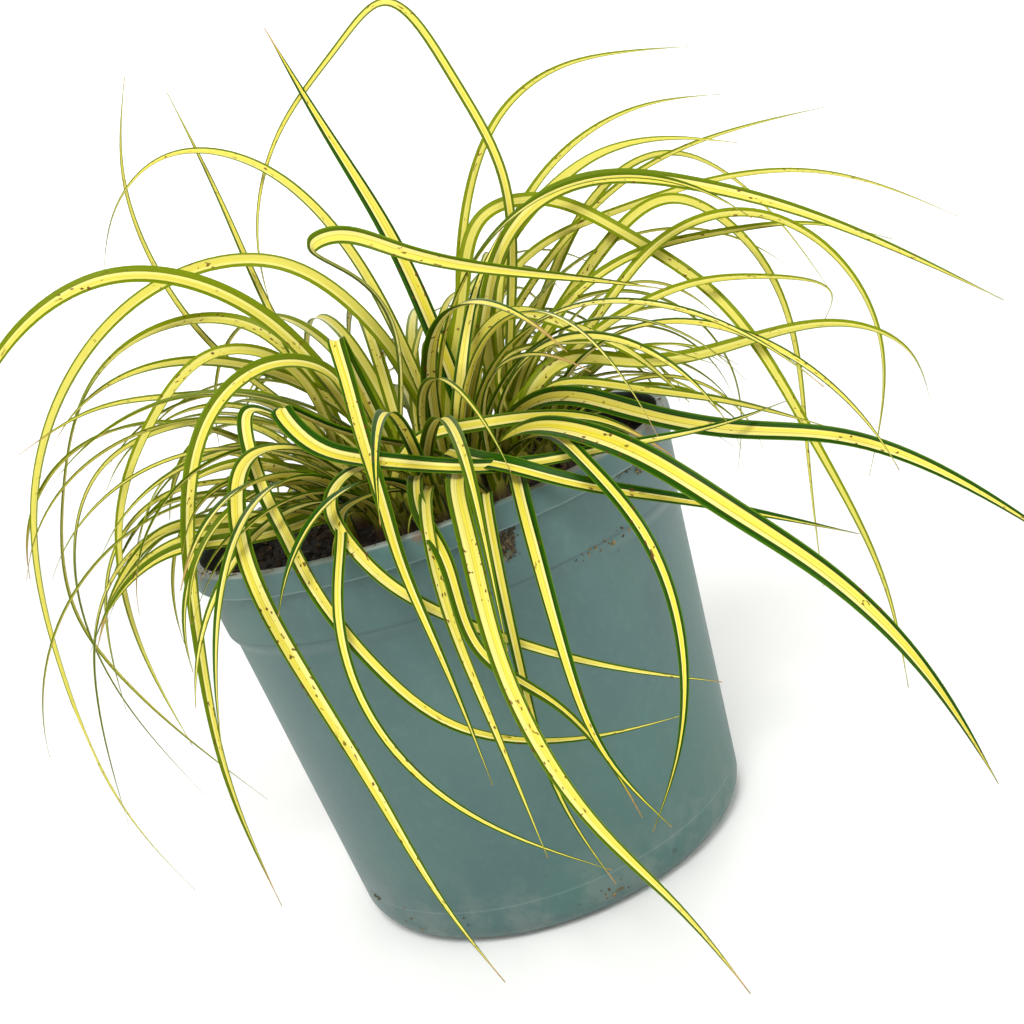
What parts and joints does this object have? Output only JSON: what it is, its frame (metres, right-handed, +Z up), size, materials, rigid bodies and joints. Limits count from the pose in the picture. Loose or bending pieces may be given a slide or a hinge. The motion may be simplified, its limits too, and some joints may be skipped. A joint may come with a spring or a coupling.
{
  "type": "potted sedge",
  "caption": "Tuft of long arching sedge blades, pale yellow with green edges, growing from dark soil in a round tapered plastic nursery pot with a lip, shoulder step and drain holes.",
  "frame": {"origin": "middle of the flat disc under the pot's floor, on the surface the pot stands on", "axes": "+Z up along the pot's axis, -Y towards the viewer of the picture, +X to the viewer's right"},
  "size_m": [0.3139, 0.2679, 0.2452],
  "materials": {
    "pot_plastic": "satin blue-grey polypropylene",
    "potting_soil": "dark peat with bark crumbs",
    "sedge_blades": "glossy leaf, pale yellow with dark green edges"
  },
  "bodies": {
    "root": {"pot": "pot_plastic", "soil": "potting_soil", "tiller_01": "sedge_blades", "tiller_02": "sedge_blades", "tiller_03": "sedge_blades", "tiller_04": "sedge_blades", "tiller_05": "sedge_blades", "tiller_06": "sedge_blades", "tiller_07": "sedge_blades", "tiller_08": "sedge_blades", "tiller_09": "sedge_blades", "tiller_10": "sedge_blades", "tiller_11": "sedge_blades", "tiller_12": "sedge_blades", "tiller_13": "sedge_blades", "tiller_14": "sedge_blades", "tiller_15": "sedge_blades", "tiller_16": "sedge_blades", "tiller_17": "sedge_blades", "tiller_18": "sedge_blades", "tiller_19": "sedge_blades", "tiller_20": "sedge_blades", "tiller_21": "sedge_blades", "tiller_22": "sedge_blades", "tiller_23": "sedge_blades", "tiller_24": "sedge_blades", "tiller_25": "sedge_blades", "tiller_26": "sedge_blades", "tiller_27": "sedge_blades", "tiller_28": "sedge_blades", "tiller_29": "sedge_blades", "tiller_30": "sedge_blades", "tiller_31": "sedge_blades", "tiller_32": "sedge_blades", "tiller_33": "sedge_blades", "tiller_34": "sedge_blades", "tiller_35": "sedge_blades", "tiller_36": "sedge_blades", "tiller_37": "sedge_blades", "tiller_38": "sedge_blades"}
  },
  "joints": []
}
